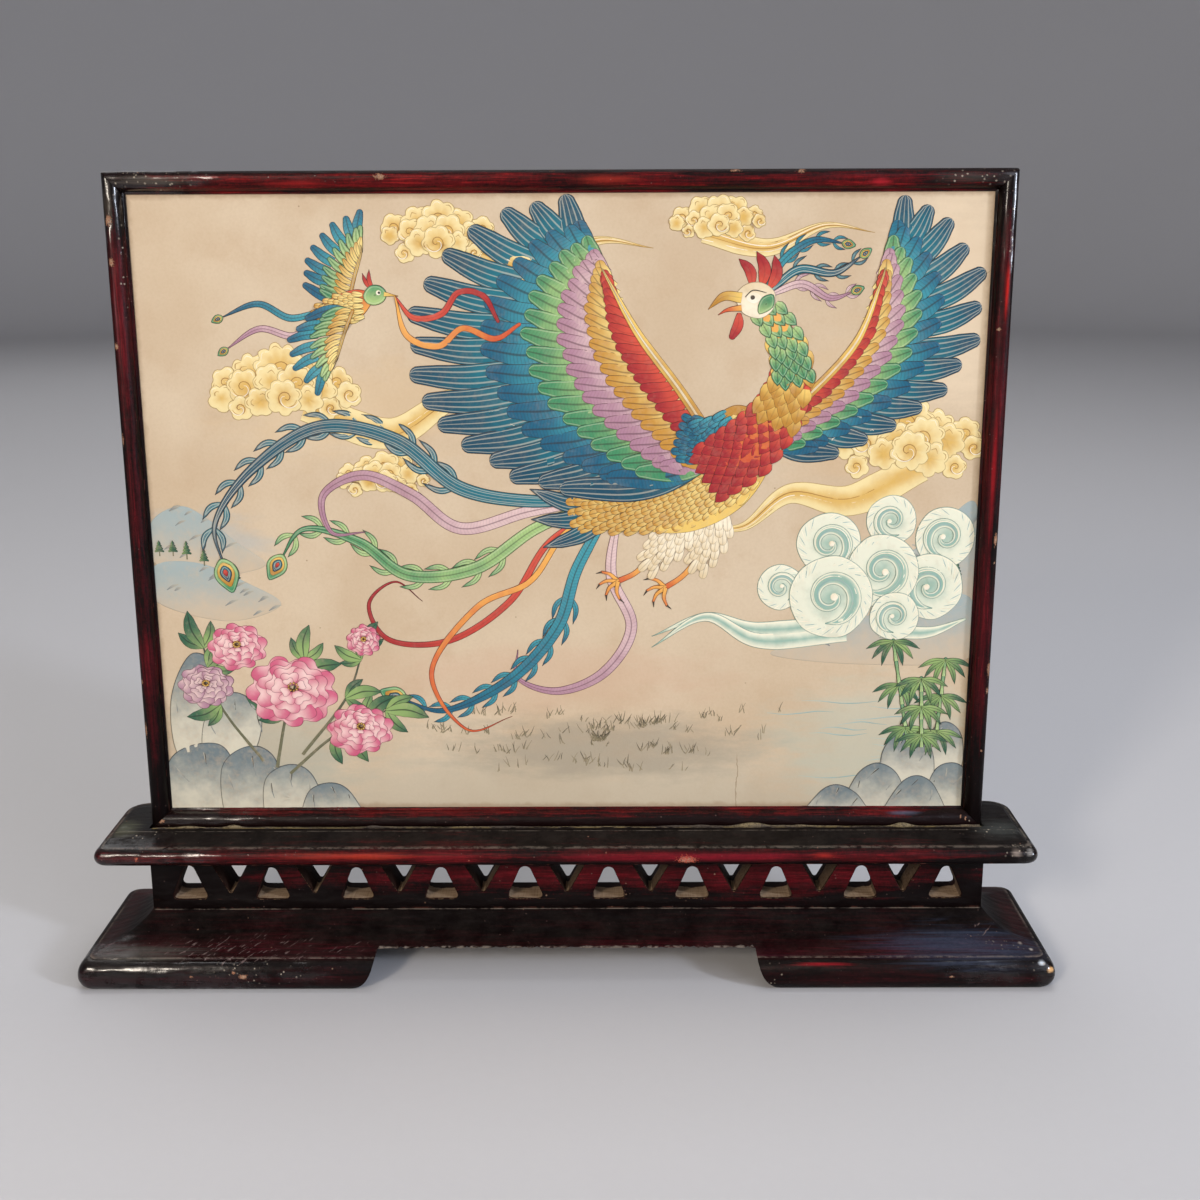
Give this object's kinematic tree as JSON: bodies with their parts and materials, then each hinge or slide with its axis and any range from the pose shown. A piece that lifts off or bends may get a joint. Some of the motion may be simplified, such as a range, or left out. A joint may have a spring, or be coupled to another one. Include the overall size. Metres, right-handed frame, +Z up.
{
  "type": "carved stone plaque table screen",
  "caption": "Carved stone plaque in a mitred lacquered frame, glued upright on a moulded two-tier wooden stand with a pierced gallery.",
  "frame": {"origin": "middle of the base's underside, on the surface that the screen stands on", "axes": "+X along the screen to the viewer's right, -Y out of the carved face towards the viewer, +Z up"},
  "size_m": [0.294, 0.056, 0.2382],
  "materials": {
    "stand_lacquer": "dark red-brown lacquer, glossy, worn at its edges",
    "frame_lacquer": "dark red-brown lacquer, glossy, chipped to tan wood",
    "stone": "cream stone, honed, with carved and tinted low relief",
    "card": "plain grey-brown card",
    "back_board": "thin board, stained dark, matt",
    "bamboo": "bamboo slip under lacquer",
    "steel": "plain steel, dulled"
  },
  "bodies": {
    "root": {"base_plinth": "stand_lacquer", "pierced_gallery": "stand_lacquer", "upper_board": "stand_lacquer", "frame_top_rail": "frame_lacquer", "frame_right_stile": "frame_lacquer", "frame_bottom_rail": "frame_lacquer", "frame_left_stile": "frame_lacquer", "stone_plaque": "stone", "backing_card": "card", "back_board": "back_board", "corner_key_top_left": "bamboo", "corner_key_top_right": "bamboo", "corner_key_bottom_left": "bamboo", "corner_key_bottom_right": "bamboo", "brad_top_rail_1": "steel", "brad_top_rail_2": "steel", "brad_right_stile_1": "steel", "brad_right_stile_2": "steel", "brad_bottom_rail_1": "steel", "brad_bottom_rail_2": "steel", "brad_left_stile_1": "steel", "brad_left_stile_2": "steel", "base_screw_left": "steel", "base_screw_right": "steel"}
  },
  "joints": []
}
